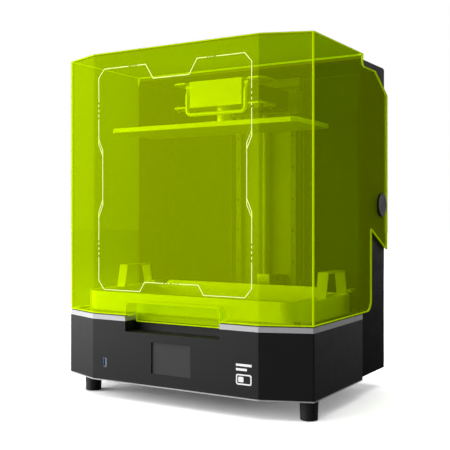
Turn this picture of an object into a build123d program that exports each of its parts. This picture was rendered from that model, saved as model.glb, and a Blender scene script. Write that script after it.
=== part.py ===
from build123d import *
from math import hypot
import os

# Resin printer. Millimetres, +Z up. The origin is on the table, under the middle of the machine.
# X runs across the machine, and the front face looks along -Y.

# ---- driving dimensions -------------------------------------------------------------------
BASE_W = 475  # width of the base case
DEPTH = 349  # front face to the rearmost tip of the cover
FOOT_H = 30  # height of the feet
FLAT_HALF = 160  # half the width of the flat front face
CHAMFER_D = 30.5  # how far back the two front chamfers reach
BASE_BACK = 225  # depth at which the wide base case ends
BASE_TOP = 133
BAND_TOP = 141
DECK_TOP = 139
DECK_T = 3
SHEET = 2.5  # sheet metal thickness
BOTTOM_T = 2

HOUSING_HALF = 232
HOUSING_BACK = 345
HOUSING_BOTTOM = 33
HOUSING_TOP = 574.5
PANEL_HALF = HOUSING_HALF - SHEET - 0.2

COVER_HALF = 237
COVER_WALL = 3.5
COVER_INSET = 1.2
COVER_BOTTOM = 142.6
COVER_TOP = 582.4
ROOF_BACK = 230  # depth of the roof panel's rear edge
PIVOT_D = 316
PIVOT_Z = 327
PIN_R = 6
RUN_GAP = 0.06  # radial clearance of the running fits

NOTCH_HALF = 91.5
NOTCH_D = 30
NOTCH_FLOOR = 116

PLATE_HALF = 185  # build plate
PLATE_FRONT = 76
PLATE_BACK = 211
PLATE_Z = 456
PLATE_T = 8
BRACKET_Z = 499
BRACKET_TOP = 545
ARM_FRONT = 195.5
SADDLE_FRONT = 305
SADDLE_BACK = 311

VAT_HALF = 218
VAT_FRONT = 36
VAT_BACK = 226
VAT_Z = 143.8
VAT_TOP = 176
VAT_WALL_TOP = 184
VAT_IN_HALF = 190
VAT_IN_FRONT = 62
VAT_IN_BACK = 217
FILM_Z = 139.4
FILM_T = 0.4

SCREW_D = 322
SCREW_R = 6
RAIL_X = 60
RAIL_W = 12
RAIL_FRONT = 322
COLUMN_FRONT = 332
COLUMN_BACK = 340
COLUMN_TOP = 566
COLUMN_HALF = 68

LCD_HALF = 178
LCD_FRONT = 62.5
LCD_BACK = 224.5

BADGE_T = 0.4  # how far the raised front marks stand proud
FAN_X = 150
FAN_Z = 86
FAN_SIZE = 60
FAN_T = 20
SWITCH_X = 78
INLET_X = 35
NETWORK_X = -60
PORT_Z = 80
PORTS_X = 10  # middle, half width and height of the opening for the sockets
PORTS_HALF = 92
PORTS_H = 42


def at(depth):
    """Y of a point that lies this far behind the front face."""
    return depth - DEPTH / 2


def plan(inset, back, half=BASE_W / 2):
    """Plan outline with chamfered front corners, moved in by inset, as far back as back."""
    run = half - FLAT_HALF
    slant = hypot(run, CHAMFER_D)
    x_front = FLAT_HALF + inset * (run - slant) / CHAMFER_D
    d_side = CHAMFER_D + inset * (slant - CHAMFER_D) / run
    right = [(x_front, at(inset)), (half - inset, at(d_side)), (half - inset, at(back))]
    return right + [(-x, y) for x, y in reversed(right)]


def area(x0, x1, d0, d1, mode=Mode.ADD):
    """Rectangle in plan, from two X values and two depths."""
    with Locations(((x0 + x1) / 2, (at(d0) + at(d1)) / 2)):
        Rectangle(abs(x1 - x0), abs(d1 - d0), mode=mode)


def face_area(x0, x1, z0, z1, mode=Mode.ADD):
    """Rectangle on an upright sketch plane, from two X values and two heights."""
    with Locations(((x0 + x1) / 2, (z0 + z1) / 2)):
        Rectangle(abs(x1 - x0), abs(z1 - z0), mode=mode)


def block(x0, x1, d0, d1, z0, z1, mode=Mode.ADD):
    """Box from two X values, two depths and two heights."""
    with Locations(((x0 + x1) / 2, (at(d0) + at(d1)) / 2, (z0 + z1) / 2)):
        Box(abs(x1 - x0), abs(d1 - d0), abs(z1 - z0), mode=mode)


def upright(depth):
    """Sketch plane across the machine at this depth: its x is X and its y is Z."""
    return Plane.XZ.offset(-at(depth))


def save(builder, name):
    """Labels a finished piece and writes its file."""
    builder.part.label = name
    export_step(builder.part, f"parts/{name}.step")


os.makedirs("parts", exist_ok=True)

# ---- base case ----------------------------------------------------------------------------
with BuildPart() as base_shell:
    with BuildSketch(Plane.XY.offset(FOOT_H + BOTTOM_T)):
        Polygon(*plan(0, BASE_BACK), align=None)
    extrude(amount=BASE_TOP - FOOT_H - BOTTOM_T)
    corners = base_shell.edges().filter_by(Axis.Z).group_by(Axis.Y)
    fillet(corners[0] + corners[1], radius=3)
    with BuildSketch(Plane.XY.offset(FOOT_H)):
        Polygon(*plan(SHEET, BASE_BACK + 5), align=None)
    extrude(amount=BASE_TOP, mode=Mode.SUBTRACT)
    notch_wall = NOTCH_HALF + SHEET
    block(-notch_wall, notch_wall, 1, NOTCH_D + SHEET, NOTCH_FLOOR - SHEET, BASE_TOP)
    block(-NOTCH_HALF, NOTCH_HALF, -5, NOTCH_D, NOTCH_FLOOR, BASE_TOP + 1, mode=Mode.SUBTRACT)
    flange_x0, flange_x1 = HOUSING_HALF + 0.3, BASE_W / 2 - 1
    for side in (-1, 1):
        block(side * flange_x0, side * flange_x1, BASE_BACK - SHEET, BASE_BACK, FOOT_H + BOTTOM_T, BASE_TOP)
    SCREEN_HALF, SCREEN_Z0, SCREEN_Z1 = 38, 51.5, 102.5
    block(-SCREEN_HALF, SCREEN_HALF, -5, 10, SCREEN_Z0, SCREEN_Z1, mode=Mode.SUBTRACT)
    USB_X, USB_Z = -134.7, 61
    block(USB_X - 4, USB_X + 4, -5, 10, USB_Z - 8, USB_Z + 8, mode=Mode.SUBTRACT)
save(base_shell, "base_shell")

with BuildPart() as bottom_plate:
    with BuildSketch(Plane.XY.offset(FOOT_H)):
        Polygon(*plan(0, BASE_BACK), align=None)
        area(-PANEL_HALF + 4, PANEL_HALF - 4, BASE_BACK - 20, HOUSING_BACK - 4)
    extrude(amount=BOTTOM_T)
    slot_spots = [(x, at(d)) for x in (-90, 90) for d in (90, 105, 120, 135, 150)]
    with BuildSketch(Plane.XY.offset(FOOT_H)):
        with Locations(*slot_spots):
            SlotOverall(70, 5)
    extrude(amount=BOTTOM_T, mode=Mode.SUBTRACT)
save(bottom_plate, "bottom_plate")

with BuildPart() as trim_band:
    with BuildSketch(Plane.XY.offset(BASE_TOP)):
        Polygon(*plan(0, BASE_BACK), align=None)
    extrude(amount=BAND_TOP - BASE_TOP)
    corners = trim_band.edges().filter_by(Axis.Z).group_by(Axis.Y)
    fillet(corners[0] + corners[1], radius=3)
    for z, width, front in ((BASE_TOP, 20, NOTCH_D + 8), (DECK_TOP - DECK_T, 14, NOTCH_D + 4)):
        with BuildSketch(Plane.XY.offset(z)):
            Polygon(*plan(width, BASE_BACK + 5), align=None)
            area(-BASE_W, BASE_W, 0, front, mode=Mode.SUBTRACT)
        extrude(amount=20, mode=Mode.SUBTRACT)
    block(-NOTCH_HALF, NOTCH_HALF, -5, NOTCH_D, BASE_TOP - 1, BAND_TOP + 1, mode=Mode.SUBTRACT)
save(trim_band, "trim_band")

SEAL_T = 1.2
with BuildPart() as cover_seal:
    with BuildSketch(Plane.XY.offset(BAND_TOP)):
        Polygon(*plan(2, BASE_BACK - 1), align=None)
        Polygon(*plan(8, BASE_BACK + 5), align=None, mode=Mode.SUBTRACT)
        area(-NOTCH_HALF - 1, NOTCH_HALF + 1, -5, 20, mode=Mode.SUBTRACT)
    extrude(amount=SEAL_T)
save(cover_seal, "cover_seal")

with BuildPart() as top_deck:
    with BuildSketch(Plane.XY.offset(DECK_TOP - DECK_T)):
        Polygon(*plan(14.4, BASE_BACK + 0.5), align=None)
        area(-BASE_W, BASE_W, 0, NOTCH_D + 4.4, mode=Mode.SUBTRACT)
        area(-PANEL_HALF, PANEL_HALF, BASE_BACK + 0.4, HOUSING_BACK - 4)
        area(-LCD_HALF - 0.5, LCD_HALF + 0.5, LCD_FRONT - 0.5, LCD_BACK + 0.5, mode=Mode.SUBTRACT)
        with Locations((0, at(SCREW_D))):
            Circle(16, mode=Mode.SUBTRACT)
    extrude(amount=DECK_T)
save(top_deck, "top_deck")

FOOT_SPOTS = [(x, at(d)) for x, d in ((-198, 47), (221, 48), (-150, 300), (150, 300))]
with BuildPart() as rubber_feet:
    for spot in FOOT_SPOTS:
        with BuildSketch():
            with Locations(spot):
                Circle(13.4)
        with BuildSketch(Plane.XY.offset(FOOT_H)):
            with Locations(spot):
                Circle(14.5)
        loft()
    fillet(rubber_feet.edges().filter_by(GeomType.CIRCLE).group_by(Axis.Z)[0], radius=1.5)
    with Locations(*[(x, y, 12) for x, y in FOOT_SPOTS]):
        Cylinder(5, 12, align=(Align.CENTER, Align.CENTER, Align.MAX), mode=Mode.SUBTRACT)
save(rubber_feet, "rubber_feet")

with BuildPart() as foot_screws:
    with Locations(*[(x, y, 12) for x, y in FOOT_SPOTS]):
        Cylinder(4, 3, align=(Align.CENTER, Align.CENTER, Align.MAX))
    with BuildSketch(Plane.XY.offset(9)):
        with Locations(*FOOT_SPOTS):
            RegularPolygon(1.6, 6)
    extrude(amount=1.5, mode=Mode.SUBTRACT)
save(foot_screws, "foot_screws")

# ---- display, port and badge on the front -------------------------------------------------
with BuildPart() as touch_glass:
    block(-SCREEN_HALF - 4, SCREEN_HALF + 4, SHEET, SHEET + 1.6, SCREEN_Z0 - 4, SCREEN_Z1 + 4)
save(touch_glass, "touch_glass")

with BuildPart() as display_module:
    module_front = SHEET + 1.6
    block(-50, 50, module_front, module_front + 6, SCREEN_Z0 - 8, SCREEN_Z1 + 7)
    block(-46, 46, module_front + 6, module_front + 12, SCREEN_Z0 - 4, SCREEN_Z1 + 3)
    fillet(display_module.edges().filter_by(Axis.Y), radius=2)
save(display_module, "display_module")

with BuildPart() as usb_socket:
    block(USB_X - 3.7, USB_X + 3.7, 0.6, 14, USB_Z - 7.5, USB_Z + 7.5)
    block(USB_X - 3, USB_X + 3, 0, 12, USB_Z - 6.8, USB_Z + 6.8, mode=Mode.SUBTRACT)
    block(USB_X - 0.4, USB_X + 1.4, 2.5, 13, USB_Z - 6, USB_Z + 6)
save(usb_socket, "usb_socket")

BADGE_X0, BADGE_X1 = 121.5, 148.5
with BuildPart() as front_badge:
    with BuildSketch(upright(0)):
        face_area(BADGE_X0, BADGE_X1, 79.6, 83.2)
        face_area(BADGE_X0, BADGE_X1 - 8, 72.8, 76.4)
        with Locations(((BADGE_X0 + BADGE_X1) / 2, 59.5)):
            RectangleRounded(BADGE_X1 - BADGE_X0, 16, 3)
            RectangleRounded(BADGE_X1 - BADGE_X0 - 4, 12, 1.6, mode=Mode.SUBTRACT)
        with Locations((BADGE_X0 + 8.5, 59.5)):
            RectangleRounded(9, 8, 1.2)
    extrude(amount=BADGE_T)
save(front_badge, "front_badge")

# ---- light engine under the deck ----------------------------------------------------------
with BuildPart() as mask_screen:
    block(-LCD_HALF, LCD_HALF, LCD_FRONT, LCD_BACK, DECK_TOP - 2.2, DECK_TOP)
save(mask_screen, "mask_screen")

LENS_Z = 76
with BuildPart() as light_funnel:
    for grow, mode in ((0, Mode.ADD), (-2, Mode.SUBTRACT)):
        with BuildSketch(Plane.XY.offset(LENS_Z + 6)):
            area(-112 - grow, 112 + grow, 94 - grow, 193 + grow)
        with BuildSketch(Plane.XY.offset(DECK_TOP - DECK_T - 0.2)):
            area(-168 - grow, 168 + grow, 70 - grow, 217 + grow)
        loft(mode=mode)
save(light_funnel, "light_funnel")

with BuildPart() as lens_array:
    block(-112, 112, 94, 193, LENS_Z, LENS_Z + 6)
    with Locations((0, at(143.5), LENS_Z)):
        with GridLocations(36, 32, 6, 3):
            Cone(9, 13, 6, align=(Align.CENTER, Align.CENTER, Align.MAX))
        with GridLocations(210, 88, 2, 2):
            Cylinder(4, LENS_Z - 64, align=(Align.CENTER, Align.CENTER, Align.MAX))
save(lens_array, "lens_array")

with BuildPart() as led_board:
    block(-118, 118, 88, 199, 62, 64)
    with Locations((0, at(143.5), 64)):
        with GridLocations(36, 32, 6, 3):
            Cylinder(3.5, 3, align=(Align.CENTER, Align.CENTER, Align.MIN))
save(led_board, "led_board")

with BuildPart() as heat_sink:
    block(-118, 118, 88, 199, 56, 61.8)
    FIN_COUNT = 20
    with Locations((0, at(143.5), 56)):
        with GridLocations(234 / (FIN_COUNT - 1), 1, FIN_COUNT, 1):
            Box(2, 111, 18, align=(Align.CENTER, Align.CENTER, Align.MAX))
    for side in (-1, 1):
        block(side * 118, side * 122, 95, 192, FOOT_H + BOTTOM_T, 61.8)
save(heat_sink, "heat_sink")

# ---- electronics in the rear of the base --------------------------------------------------
BOARD_TOP = 41.6
CHIPS = (
    (-190, 250, 16, 12, 12),
    (-150, 262, 22, 22, 6),
    (-112, 256, 14, 30, 10),
    (-185, 292, 20, 14, 9),
    (-140, 298, 40, 8, 11),
    (-95, 300, 14, 14, 14),
)
with BuildPart() as mainboard:
    block(-215, -75, 234, 314, 40, BOARD_TOP)
    for x, d, length, width, height in CHIPS:
        block(x - length / 2, x + length / 2, d - width / 2, d + width / 2, BOARD_TOP, BOARD_TOP + height)
    with Locations((-145, at(274), 40)):
        with GridLocations(130, 70, 2, 2):
            Cylinder(3, 8, align=(Align.CENTER, Align.CENTER, Align.MAX))
save(mainboard, "mainboard")

with BuildPart() as power_supply:
    block(-8, 102, 232, 296, FOOT_H + BOTTOM_T, 82)
    fillet(power_supply.edges().filter_by(Axis.Z), radius=2)
    with BuildSketch(Plane.XY.offset(82)):
        with Locations((47, at(264))):
            with GridLocations(8, 16, 10, 3):
                SlotOverall(12, 3, rotation=90)
    extrude(amount=-1.5, mode=Mode.SUBTRACT)
save(power_supply, "power_supply")

# ---- rear housing -------------------------------------------------------------------------
with BuildPart() as rear_housing:
    with BuildSketch(Plane.YZ):
        with BuildLine():
            Polyline(
                (at(BASE_BACK), HOUSING_BOTTOM),
                (at(HOUSING_BACK), HOUSING_BOTTOM),
                (at(HOUSING_BACK), HOUSING_TOP - 3),
                (at(HOUSING_BACK - 4), HOUSING_TOP),
                (at(BASE_BACK + 6), HOUSING_TOP),
                (at(BASE_BACK), HOUSING_TOP - 5),
                close=True,
            )
        make_face()
    extrude(amount=HOUSING_HALF, both=True)
    inner_half = HOUSING_HALF - SHEET
    block(-inner_half, inner_half, 0, 500, 0, HOUSING_TOP - SHEET - 2.5, mode=Mode.SUBTRACT)
    with Locations(Location((0, at(PIVOT_D), PIVOT_Z), (0, 90, 0))):
        Cylinder(PIN_R, 2 * BASE_W, mode=Mode.SUBTRACT)
save(rear_housing, "rear_housing")

PANEL_Z0, PANEL_Z1 = HOUSING_BOTTOM + 1, HOUSING_TOP - 6
with BuildPart() as rear_panel:
    block(-PANEL_HALF, PANEL_HALF, HOUSING_BACK - SHEET, HOUSING_BACK, PANEL_Z0, PANEL_Z1)
    with BuildSketch(upright(HOUSING_BACK)):
        with Locations((-FAN_X, FAN_Z), (FAN_X, FAN_Z)):
            Circle(FAN_SIZE / 2 - 2)
        face_area(-PORTS_HALF + PORTS_X, PORTS_HALF + PORTS_X, PORT_Z - PORTS_H / 2, PORT_Z + PORTS_H / 2)
        with Locations((-58, 116), (58, 116)):
            with GridLocations(1, 9, 1, 2):
                SlotOverall(100, 4)
    extrude(amount=10, both=True, mode=Mode.SUBTRACT)
save(rear_panel, "rear_panel")

# A small plate with a lip behind the panel carries the sockets and the switch.
with BuildPart() as port_plate:
    for gap, depth, thick in ((-5, HOUSING_BACK - SHEET, 1), (0.2, HOUSING_BACK, SHEET)):
        with BuildSketch(upright(depth)):
            with Locations((PORTS_X, PORT_Z)):
                Rectangle(2 * (PORTS_HALF - gap), PORTS_H - 2 * gap)
        extrude(amount=thick)
    with BuildSketch(upright(HOUSING_BACK)):
        face_area(INLET_X - 14, INLET_X + 14, PORT_Z - 10, PORT_Z + 10)
        face_area(SWITCH_X - 10, SWITCH_X + 10, PORT_Z - 13, PORT_Z + 13)
        face_area(NETWORK_X - 8, NETWORK_X + 8, PORT_Z - 7, PORT_Z + 7)
    extrude(amount=10, both=True, mode=Mode.SUBTRACT)
save(port_plate, "port_plate")

PANEL_SCREWS = [(x, z) for x in (-219, 219) for z in (50, 170, 290, 410, 530)] + [(-110, 560), (110, 560)]
PANEL_SCREWS += [(-75, PORT_Z), (95, PORT_Z + 13)]
with BuildPart() as case_screws:
    with BuildSketch(upright(HOUSING_BACK)):
        with Locations(*PANEL_SCREWS):
            Circle(3.4)
    extrude(amount=-1.8)
    fillet(case_screws.faces().sort_by(Axis.Y)[-len(PANEL_SCREWS) :].edges(), radius=0.8)
    with BuildSketch(upright(HOUSING_BACK + 1.8)):
        with Locations(*PANEL_SCREWS):
            RegularPolygon(1.4, 6)
    extrude(amount=1, mode=Mode.SUBTRACT)
save(case_screws, "case_screws")

AXLE_R = 1.5
with BuildPart() as fan_frames:
    for side in (-1, 1):
        with BuildSketch(upright(HOUSING_BACK - SHEET)):
            with Locations((side * FAN_X, FAN_Z)):
                RectangleRounded(FAN_SIZE, FAN_SIZE, 4)
                Circle(FAN_SIZE / 2 - 1.5, mode=Mode.SUBTRACT)
        extrude(amount=FAN_T)
        with BuildSketch(upright(HOUSING_BACK - SHEET - FAN_T)):
            with Locations((side * FAN_X, FAN_Z)):
                Circle(12)
                for turn in range(4):
                    Rectangle(FAN_SIZE / 2 - 1, 3, rotation=45 + 90 * turn, align=(Align.MIN, Align.CENTER))
                Circle(AXLE_R + RUN_GAP, mode=Mode.SUBTRACT)
        extrude(amount=-2.5)
save(fan_frames, "fan_frames")

ROTOR_FRONT = HOUSING_BACK - SHEET - FAN_T + 3
for side_name, side in (("left", -1), ("right", 1)):
    with BuildPart() as fan_rotor:
        with BuildSketch(upright(ROTOR_FRONT)):
            with Locations((side * FAN_X, FAN_Z)):
                Circle(12)
        extrude(amount=-14)
        with BuildSketch(upright(ROTOR_FRONT)):
            with Locations((side * FAN_X, FAN_Z)):
                Circle(AXLE_R)
        extrude(amount=2.7)
        for turn in range(7):
            with BuildSketch(upright(ROTOR_FRONT)):
                with Locations(Location((side * FAN_X, FAN_Z), turn * 360 / 7)):
                    with Locations((10, 0)):
                        Rectangle(16, 2.4, align=(Align.MIN, Align.CENTER))
            extrude(amount=-12)
    save(fan_rotor, f"fan_rotor_{side_name}")

with BuildPart() as fan_guards:
    for side in (-1, 1):
        with BuildSketch(upright(HOUSING_BACK)):
            with Locations((side * FAN_X, FAN_Z)):
                for ring in (26, 18, 10):
                    Circle(ring + 0.9)
                    Circle(ring - 0.9, mode=Mode.SUBTRACT)
                for turn in range(4):
                    Rectangle(34, 1.8, rotation=45 + 90 * turn, align=(Align.MIN, Align.CENTER))
                with GridLocations(50, 50, 2, 2):
                    Circle(4)
        extrude(amount=-1.8)
save(fan_guards, "fan_guards")

with BuildPart() as mains_inlet:
    block(INLET_X - 13.8, INLET_X + 13.8, 322, HOUSING_BACK, PORT_Z - 9.8, PORT_Z + 9.8)
    with BuildSketch(upright(HOUSING_BACK)):
        with Locations((INLET_X, PORT_Z)):
            RectangleRounded(33, 25, 3)
    extrude(amount=-1.5)
    with BuildSketch(upright(HOUSING_BACK + 2)):
        with Locations((INLET_X, PORT_Z)):
            RectangleRounded(24.4, 16.6, 2.5)
    extrude(amount=19, mode=Mode.SUBTRACT)
    for x, z in ((-7, -1.5), (0, 2.5), (7, -1.5)):
        block(INLET_X + x - 1, INLET_X + x + 1, 326, 339, PORT_Z + z - 2, PORT_Z + z + 2)
save(mains_inlet, "mains_inlet")

SWITCH_HALF_W, SWITCH_HALF_H = 9.8, 12.8
with BuildPart() as switch_body:
    with Locations((SWITCH_X, at(HOUSING_BACK), PORT_Z)):
        Box(2 * SWITCH_HALF_W, 19, 2 * SWITCH_HALF_H, align=(Align.CENTER, Align.MAX, Align.CENTER))
    with BuildSketch(upright(HOUSING_BACK)):
        with Locations((SWITCH_X, PORT_Z)):
            RectangleRounded(24, 30, 2)
    extrude(amount=-1.5)
    block(SWITCH_X - 7.5, SWITCH_X + 7.5, 331, 350, PORT_Z - 10.8, PORT_Z + 10.8, mode=Mode.SUBTRACT)
save(switch_body, "switch_body")

ROCKER_D = 342
with BuildPart() as power_rocker:
    with BuildSketch(Plane.YZ.offset(SWITCH_X)):
        with BuildLine():
            Polyline(
                (at(ROCKER_D - 5), PORT_Z - 7),
                (at(ROCKER_D - 5), PORT_Z + 7),
                (at(ROCKER_D + 2.2), PORT_Z + 9.6),
                (at(ROCKER_D + 3), PORT_Z),
                (at(ROCKER_D + 5.5), PORT_Z - 8.8),
                close=True,
            )
        make_face()
    extrude(amount=7.1, both=True)
    fillet(power_rocker.edges().filter_by(Axis.X), radius=0.8)
save(power_rocker, "power_rocker")

with BuildPart() as network_socket:
    block(NETWORK_X - 7.8, NETWORK_X + 7.8, 328, HOUSING_BACK + 0.8, PORT_Z - 6.8, PORT_Z + 6.8)
    block(NETWORK_X - 6, NETWORK_X + 6, 332, 350, PORT_Z - 4, PORT_Z + 4.6, mode=Mode.SUBTRACT)
    block(NETWORK_X - 3, NETWORK_X + 3, 332, 350, PORT_Z - 5.6, PORT_Z - 4, mode=Mode.SUBTRACT)
save(network_socket, "network_socket")

# ---- Z column -----------------------------------------------------------------------------
with BuildPart() as column_channel:
    block(-81, 81, COLUMN_BACK, COLUMN_BACK + 2.3, DECK_TOP, COLUMN_TOP)
    for side in (-1, 1):
        block(side * 78.5, side * 81, COLUMN_FRONT - 6, COLUMN_BACK + 2.3, DECK_TOP, COLUMN_TOP)
save(column_channel, "column_channel")

with BuildPart() as column_plate:
    block(-COLUMN_HALF, COLUMN_HALF, COLUMN_FRONT, COLUMN_BACK, DECK_TOP, COLUMN_TOP)
    chamfer(column_plate.edges().filter_by(Axis.Z).group_by(Axis.Y)[0], length=1)
save(column_plate, "column_plate")

RAIL_HOLES = [(side * RAIL_X, z) for side in (-1, 1) for z in range(160, 541, 60)]
with BuildPart() as linear_rails:
    for side in (-1, 1):
        block(side * RAIL_X - RAIL_W / 2, side * RAIL_X + RAIL_W / 2, RAIL_FRONT, COLUMN_FRONT, 146, 548)
    chamfer(linear_rails.edges().filter_by(Axis.Z).group_by(Axis.Y)[0], length=0.8)
    with BuildSketch(upright(RAIL_FRONT)):
        with Locations(*RAIL_HOLES):
            Circle(3.2)
    extrude(amount=-4, mode=Mode.SUBTRACT)
save(linear_rails, "linear_rails")

BEARING_TOP = 195
with BuildPart() as lower_bearing:
    block(-24, 24, SCREW_D - 9, COLUMN_FRONT, DECK_TOP, 160)
    block(-14, 14, SCREW_D - 9, COLUMN_FRONT, 160, BEARING_TOP)
    chamfer(lower_bearing.edges().filter_by(Axis.Z).group_by(Axis.Y)[0], length=1)
    with Locations((0, at(SCREW_D), DECK_TOP)):
        Cylinder(SCREW_R + RUN_GAP, 200, mode=Mode.SUBTRACT)
save(lower_bearing, "lower_bearing")

with BuildPart() as upper_bearing:
    block(-78, 78, SCREW_D - 9, COLUMN_FRONT, 552, 568)
    chamfer(upper_bearing.edges().filter_by(Axis.Z).group_by(Axis.Y)[0], length=2)
    with Locations((0, at(SCREW_D), 560)):
        Cylinder(SCREW_R - 1 + RUN_GAP, 100, mode=Mode.SUBTRACT)
save(upper_bearing, "upper_bearing")

with BuildPart() as limit_switch:
    block(25, 34, SCREW_D - 7, COLUMN_FRONT, 170, BEARING_TOP)
    block(27, 32, SCREW_D - 9, SCREW_D - 2, 182, 191, mode=Mode.SUBTRACT)
    block(36, 42, SCREW_D - 6, COLUMN_FRONT, 166, BEARING_TOP - 1)
save(limit_switch, "limit_switch")

with BuildPart() as lead_screw:
    with Locations((0, at(SCREW_D), 116)):
        Cylinder(SCREW_R, 435.5, align=(Align.CENTER, Align.CENTER, Align.MIN))
        Cylinder(SCREW_R - 1, 450, align=(Align.CENTER, Align.CENTER, Align.MIN))
save(lead_screw, "lead_screw")

with BuildPart() as z_motor:
    with Locations((0, at(SCREW_D - 2), FOOT_H + BOTTOM_T)):
        Box(42, 42, 40, align=(Align.CENTER, Align.CENTER, Align.MIN))
    chamfer(z_motor.edges().filter_by(Axis.Z), length=3)
    with Locations((0, at(SCREW_D), 72)):
        Cylinder(11, 2, align=(Align.CENTER, Align.CENTER, Align.MIN))
    with Locations((0, at(SCREW_D), 50)):
        Cylinder(2.5 + RUN_GAP, 30, align=(Align.CENTER, Align.CENTER, Align.MIN), mode=Mode.SUBTRACT)
save(z_motor, "z_motor")

with BuildPart() as motor_coupler:
    with Locations((0, at(SCREW_D), 90)):
        Cylinder(11, 26, align=(Align.CENTER, Align.CENTER, Align.MIN))
    with Locations(*[(0, at(SCREW_D), z) for z in (98, 103, 108)]):
        Cylinder(12, 1, mode=Mode.SUBTRACT)
        Cylinder(8.5, 1)
save(motor_coupler, "motor_coupler")

with BuildPart() as motor_shaft:
    with Locations((0, at(SCREW_D), 52)):
        Cylinder(2.5, 38, align=(Align.CENTER, Align.CENTER, Align.MIN))
save(motor_shaft, "motor_shaft")

# ---- Z carriage ---------------------------------------------------------------------------
SADDLE_Z0, SADDLE_Z1 = 502.6, 544
with BuildPart() as guide_blocks:
    for side in (-1, 1):
        block(side * RAIL_X - 16, side * RAIL_X + 16, SADDLE_BACK, RAIL_FRONT + 7, SADDLE_Z0, SADDLE_Z1)
        groove = RAIL_W / 2 + 0.3
        rail_side = side * RAIL_X
        block(rail_side - groove, rail_side + groove, RAIL_FRONT - 0.3, 340, 0, 600, mode=Mode.SUBTRACT)
save(guide_blocks, "guide_blocks")

with BuildPart() as carriage_plate:
    block(-76, 76, SADDLE_FRONT, SADDLE_BACK, SADDLE_Z0, SADDLE_Z1)
    fillet(carriage_plate.edges().filter_by(Axis.Y), radius=3)
save(carriage_plate, "carriage_plate")

with BuildPart() as lead_nut:
    block(-18, 18, SADDLE_BACK, COLUMN_FRONT - 0.7, 515, 541)
    with Locations((0, at(SCREW_D), 528)):
        Cylinder(SCREW_R + RUN_GAP, 60, mode=Mode.SUBTRACT)
save(lead_nut, "lead_nut")

with BuildPart() as carriage_arm:
    with BuildSketch(Plane.YZ):
        with BuildLine():
            Polyline(
                (at(ARM_FRONT), 508),
                (at(SADDLE_FRONT), 504),
                (at(SADDLE_FRONT), 543),
                (at(ARM_FRONT), 540),
                close=True,
            )
        make_face()
    extrude(amount=57, both=True)
    block(-53, 53, ARM_FRONT + 4, SADDLE_FRONT - 5, 490, 537, mode=Mode.SUBTRACT)
    block(-40, 40, 152, ARM_FRONT + 2, 510, 534)
save(carriage_arm, "carriage_arm")

# ---- build platform -----------------------------------------------------------------------
with BuildPart() as build_plate:
    with BuildSketch(Plane.XY.offset(PLATE_Z)):
        area(-PLATE_HALF, PLATE_HALF, PLATE_FRONT, PLATE_BACK)
        chamfer(vertices(), length=9)
    extrude(amount=PLATE_T)
    fillet(build_plate.edges().group_by(Axis.Z)[-1], radius=1.5)
save(build_plate, "build_plate")

with BuildPart() as levelling_block:
    block(-30, 30, 148, 190, PLATE_Z + PLATE_T, PLATE_Z + PLATE_T + 10)
    fillet(levelling_block.edges().filter_by(Axis.Z), radius=4)
    with Locations((0, at(169), PLATE_Z + PLATE_T + 10)):
        Cylinder(14, BRACKET_Z - PLATE_Z - PLATE_T - 10, align=(Align.CENTER, Align.CENTER, Align.MIN))
save(levelling_block, "levelling_block")

FLANGE_FRONT, FLANGE_BACK, FLANGE_T = 138, 195, 3
BAIL_HALF, BAIL_D, BAIL_TOP, BAIL_LOW, BAIL_R, BAIL_PIN_R = 59.5, 144, 536, 487, 3.4, 2
BAIL_FRONT = 138.5  # depth of the legs, which are bent forward below the pivot
with BuildPart() as platform_bracket:
    block(-53, 53, 136, FLANGE_BACK, BRACKET_Z, BRACKET_TOP)
    for z in (BRACKET_Z, BRACKET_TOP - FLANGE_T):
        with BuildSketch(Plane.XY.offset(z)):
            area(-93, 93, FLANGE_FRONT, FLANGE_BACK)
            chamfer(vertices(), length=8)
        extrude(amount=FLANGE_T)
    block(-50, 50, 139, 300, BRACKET_Z + FLANGE_T, BRACKET_TOP - FLANGE_T, mode=Mode.SUBTRACT)
    with Locations(Location((0, at(BAIL_D), BAIL_TOP), (0, 90, 0))):
        Cylinder(BAIL_PIN_R + RUN_GAP, 200, mode=Mode.SUBTRACT)
    for side in (-1, 1):
        leg_x0, leg_x1 = side * (BAIL_HALF - 5), side * (BAIL_HALF + 5)
        for z in (BRACKET_Z, BRACKET_TOP - FLANGE_T):
            block(leg_x0, leg_x1, 130, BAIL_D + 0.5, z - 1, z + FLANGE_T + 1, mode=Mode.SUBTRACT)
save(platform_bracket, "platform_bracket")

BRACKET_BOLTS = [(x, at(d)) for x in (-84, -66, 66, 84) for d in (150, 183)]
with BuildPart() as bracket_bolts:
    with Locations(*[(x, y, BRACKET_Z + FLANGE_T) for x, y in BRACKET_BOLTS]):
        Cylinder(4.2, 4, align=(Align.CENTER, Align.CENTER, Align.MIN))
    with Locations(*[(x, y, BRACKET_Z) for x, y in BRACKET_BOLTS]):
        Cylinder(3, 5, align=(Align.CENTER, Align.CENTER, Align.MAX))
    with BuildSketch(Plane.XY.offset(BRACKET_Z + FLANGE_T + 4)):
        with Locations(*BRACKET_BOLTS):
            RegularPolygon(2, 6)
    extrude(amount=-2, mode=Mode.SUBTRACT)
save(bracket_bolts, "bracket_bolts")

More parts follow.
